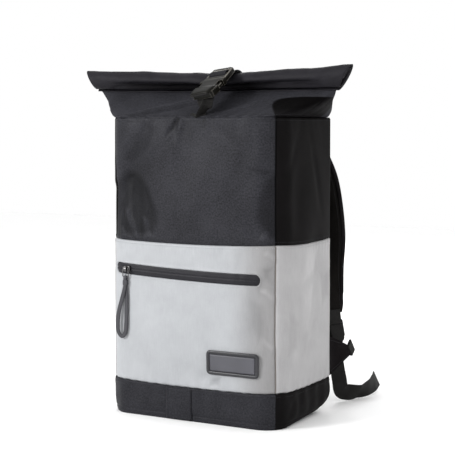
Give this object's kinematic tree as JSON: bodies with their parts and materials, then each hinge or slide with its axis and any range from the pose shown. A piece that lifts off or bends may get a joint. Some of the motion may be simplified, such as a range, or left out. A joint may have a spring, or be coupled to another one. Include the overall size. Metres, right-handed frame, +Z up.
{
  "type": "laptop backpack",
  "caption": "Roll-top laptop backpack with a grey zipped front band, dark upper cloth, a buckled rolled mouth and padded shoulder straps, standing on its base.",
  "frame": {"origin": "middle of the flat bottom, on the surface the bag stands on", "axes": "+Z up, the zipped front faces -Y, the shoulder straps are at +Y, +X to the right seen from the front"},
  "size_m": [0.4454, 0.3443, 0.5082],
  "materials": {
    "dark_cloth": "woven polyester with a dark coated sheen",
    "grey_cloth": "light grey reflective coated cloth",
    "padded_cloth": "matte woven cover over foam padding",
    "webbing": "matte woven polyester webbing",
    "zip_tape": "coated water-resistant zip tape",
    "zip_metal": "dark plated metal",
    "leather": "dark grey smooth leather-like strap",
    "rubber": "moulded satin rubber",
    "buckle_plastic": "moulded satin plastic"
  },
  "bodies": {
    "root": {"base_boot": "dark_cloth", "light_loop_tab": "dark_cloth", "pocket_front_panel": "grey_cloth", "grey_side_panel_left": "grey_cloth", "grey_side_panel_right": "grey_cloth", "upper_front_panel": "dark_cloth", "upper_side_panel_left": "dark_cloth", "upper_side_panel_right": "dark_cloth", "back_panel": "padded_cloth", "roll_top_collar": "dark_cloth", "pocket_zip": "zip_tape", "zip_slider": "zip_metal", "zip_pull_ring": "zip_metal", "zip_pull_loop": "leather", "pull_keeper": "leather", "badge": "rubber", "buckle_socket": "buckle_plastic", "buckle_plug": "buckle_plastic", "front_strap": "webbing", "back_strap": "webbing", "shoulder_strap_right": "padded_cloth", "lock_loop_right": "webbing", "ladder_lock_right": "buckle_plastic", "lower_webbing_right": "webbing", "side_tab_right": "webbing", "tab_loop_right": "webbing", "shoulder_strap_left": "padded_cloth", "lock_loop_left": "webbing", "ladder_lock_left": "buckle_plastic", "lower_webbing_left": "webbing", "side_tab_left": "webbing", "tab_loop_left": "webbing"}
  },
  "joints": []
}
